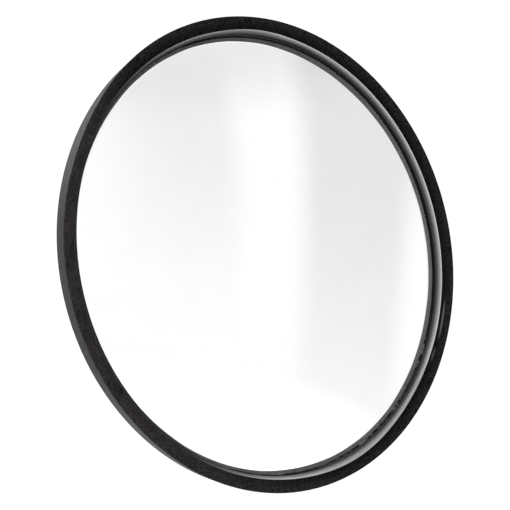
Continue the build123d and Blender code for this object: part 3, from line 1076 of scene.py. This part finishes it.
def make_bracket(node, place, reach, steel):
    """Keeps the CAD plate and U, bevels their edges, and adds the welds that hold them together."""
    dress(node, steel, 0.35 * MM)
    plate = -reach + 3.0 * MM

    def welds(work):
        for side in (1, -1):
            ear, base = side * 14.9 * MM, side * 14.1 * MM
            ear_ends = [(plate + 1.2 * MM, end, ear) for end in (-12.5 * MM, 12.5 * MM)]
            base_ends = [(plate + 0.6 * MM, base, end) for end in (-9 * MM, 9 * MM)]
            weld_bead(work, *ear_ends, 2.0 * MM, 3)
            weld_bead(work, *base_ends, 1.7 * MM, 5)
        work.transform(place)
        bmesh.ops.recalc_face_normals(work, faces=work.faces)

    new_object(node + "_welds", welds, [steel], BODY_OF[node], ())


HUB_WASHER_R = 6 * MM
HUB_HEXAGON = 10 * MM


def hub_places():
    """Axes of the four hub bolts: local Z runs to the rear from the centre of each hole."""
    low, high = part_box("hub_washers")
    for x in (low.x + HUB_WASHER_R, high.x - HUB_WASHER_R):
        for z in (low.z + HUB_WASHER_R, high.z - HUB_WASHER_R):
            yield Matrix(((1, 0, 0, x), (0, 0, 1, 0), (0, -1, 0, z), (0, 0, 0, 1)))


def make_hub_fasteners(zinc):
    """Heads inside the dome, then plate, panel and bracket, then washers and nuts at the rear."""
    bolt_low, bolt_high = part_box("hub_bolts")
    washer_low, washer_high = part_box("hub_washers")
    nut_low, nut_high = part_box("hub_nuts")
    head_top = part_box("inner_plate")[0].y

    def each(maker):
        def every(work):
            for number, place in enumerate(hub_places()):
                mesh = filled_mesh("one", maker)
                mesh.transform(place @ Matrix.Rotation(0.55 * number, 4, "Z"))
                work.from_mesh(mesh)

        return every

    def bolt(work):
        hexagon_mesh(work, HUB_HEXAGON, bolt_low.y, head_top)
        threaded_rod(work, 3 * MM, head_top - 0.5 * MM, bolt_high.y, bolt_high.y - 10 * MM, 1 * MM)

    def washer(work):
        outline = washer_outline(3.2 * MM, HUB_WASHER_R, washer_low.y, washer_high.y, 0.2 * MM)
        ring_mesh(work, outline)

    def nut(work):
        hexagon_mesh(work, HUB_HEXAGON, nut_low.y, nut_high.y, 2.6 * MM)

    keep_sharp(stand_in("hub_bolts", each(bolt), zinc), 30, 0.1 * MM)
    stand_in("hub_washers", each(washer), zinc)
    keep_sharp(stand_in("hub_nuts", each(nut), zinc), 30, 0.15 * MM)


finish = {
    "zinc": zinc_plated("bright_zinc_fasteners", (0.40, 0.41, 0.43), (0.54, 0.545, 0.55), 0.27),
    "spring": spring_steel(),
    "nylon": black_nylon(),
    "brass": brass(),
    "bush": white_nylon(),
    "casting": black_coat("painted_casting", 620, 0.4),
}
plate_zinc = zinc_plated("zinc_plated_sheet", (0.33, 0.34, 0.36), (0.46, 0.465, 0.475), 0.36)
make_joint("tilt", TILT, finish)
make_joint("pan", PAN, finish)
make_bracket("hub_bracket", TILT, TILT_AXIS.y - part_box("back_panel")[1].y, plate_zinc)
make_bracket("wall_bracket", PAN, -PAN_AXIS.y, plate_zinc)
make_hub_fasteners(finish["zinc"])
dress("inner_plate", plate_zinc, 0.3 * MM)
dress("arm_tube", black_coat("black_powder_coat"), 0.4 * MM)
dress("arm_pins", finish["spring"], 0.15 * MM)
dress("back_panel", hardboard(), 0.3 * MM)
dress("foam_ring", black_foam())


# ---------------------------------------------------------------- camera, floor and light
CAMERA_AZIMUTH, CAMERA_ELEVATION = math.radians(-35.5), math.radians(-9.69)
CAMERA_DISTANCE = 8 * RIM_R
CAMERA_LENS_MM = 135.7
CAMERA_LEFT, CAMERA_DOWN = 0.0727, 0.0152
FLOOR_R, FLOOR_Z = 4.0, -0.75


def make_camera():
    """Long lens on the mirror, a little off its centre (left and down, in rim radii)."""
    azimuth, elevation = CAMERA_AZIMUTH, CAMERA_ELEVATION
    back = Vector(
        (
            math.sin(azimuth) * math.cos(elevation),
            -math.cos(azimuth) * math.cos(elevation),
            math.sin(elevation),
        )
    )
    right = Vector((math.cos(azimuth), math.sin(azimuth), 0))
    up = back.cross(right)
    data = bpy.data.cameras.new("camera")
    data.lens = CAMERA_LENS_MM
    data.sensor_width = 36
    camera = in_scene("camera", data)
    aim = Vector((0, FRONT_Y, 0)) - right * CAMERA_LEFT * RIM_R - up * CAMERA_DOWN * RIM_R
    place = aim + back * CAMERA_DISTANCE
    turn = Matrix((right, up, back)).transposed()
    camera.matrix_world = Matrix.Translation(place) @ turn.to_4x4()
    bpy.context.scene.camera = camera


def make_floor():
    """White disc, well below the mirror, that fades out towards its edge."""

    def disc(work):
        bmesh.ops.create_circle(work, cap_ends=True, segments=96, radius=FLOOR_R)

    mesh = filled_mesh("floor", disc)
    floor = in_scene("floor", mesh)
    floor.location.z = FLOOR_Z
    s = Shader("pale_floor")
    s.set(Base_Color=(0.93, 0.93, 0.93, 1), Roughness=0.9)
    s.set(Specular_IOR_Level=0.1)
    clear = s.node("BsdfTransparent")
    fade = s.node("MixShader")
    distance = s.node("VectorMath", operation="LENGTH")
    s.tree.links.new(s.coords.outputs["Object"], distance.inputs[0])
    outward = s.math("DIVIDE", distance.outputs["Value"], FLOOR_R)
    s.tree.links.new(s.ramp(outward, (0.35, 0.0), (0.95, 1.0)), fade.inputs[0])
    s.tree.links.new(s.surface.outputs[0], fade.inputs[1])
    s.tree.links.new(clear.outputs[0], fade.inputs[2])
    s.tree.links.new(fade.outputs[0], s.output.inputs["Surface"])
    mesh.materials.append(s.material)


def make_world():
    """White studio with soft grey bands on the right, on the left and overhead."""
    world = bpy.data.worlds.new("white_studio")
    bpy.context.scene.world = world
    world.use_nodes = True
    tree = world.node_tree

    def math_node(operation, first, second=None, third=None):
        made = tree.nodes.new("ShaderNodeMath")
        made.operation = operation
        for socket, value in zip(made.inputs, (first, second, third)):
            if isinstance(value, bpy.types.NodeSocket):
                tree.links.new(value, socket)
            elif value is not None:
                socket.default_value = value
        return made.outputs[0]

    def soft_step(value, start, end):
        """0 below start, 1 above end, smooth between."""
        made = tree.nodes.new("ShaderNodeMapRange")
        made.interpolation_type = "SMOOTHERSTEP"
        tree.links.new(value, made.inputs["Value"])
        made.inputs["From Min"].default_value = start
        made.inputs["From Max"].default_value = end
        return made.outputs["Result"]

    def hump(value, start, full, fade, end):
        """Rises from start to full and falls from fade to end."""
        return math_node("MULTIPLY", soft_step(value, start, full), soft_step(value, end, fade))

    coords = tree.nodes.new("ShaderNodeTexCoord")
    split = tree.nodes.new("ShaderNodeSeparateXYZ")
    tree.links.new(coords.outputs["Generated"], split.inputs[0])
    sideways, away, height = split.outputs
    ahead = soft_step(away, 0.35, -0.10)
    right_band = math_node("MULTIPLY", hump(sideways, 0.58, 0.73, 0.89, 0.97), ahead)
    left_band = hump(sideways, -0.25, 0.30, 0.34, 0.50)
    shades = (
        (math_node("MULTIPLY", right_band, soft_step(height, -0.75, 0.62)), 0.21),
        (math_node("MULTIPLY", left_band, hump(height, -0.30, 0.75, 0.50, 0.80)), 0.15),
        (soft_step(height, 0.50, 0.73), 0.17),
    )
    light = 1.07
    for shade, depth in shades:
        light = math_node("MULTIPLY", light, math_node("MULTIPLY_ADD", shade, -depth, 1.0))
    background = tree.nodes["Background"]
    background.inputs["Color"].default_value = (1, 1, 1, 1)
    tree.links.new(light, background.inputs["Strength"])


def make_softbox(name, place, target, size, power):
    data = bpy.data.lights.new(name, "AREA")
    data.shape = "RECTANGLE"
    data.size, data.size_y = size
    data.energy = power
    light = in_scene(name, data)
    light.location = place
    light.rotation_mode = "QUATERNION"
    light.rotation_quaternion = (Vector(target) - Vector(place)).to_track_quat("-Z", "Y")


make_camera()
make_floor()
make_world()
bpy.context.scene.view_settings.view_transform = "Standard"
make_softbox("left_softbox", (-1.35, FRONT_Y - 0.75, 0.5), (0, FRONT_Y, 0.1), (1.6, 2.4), 120)
make_softbox("rear_softbox", (1.9, 0.35, 1.0), (0, -0.1, 0), (1.2, 1.2), 40)
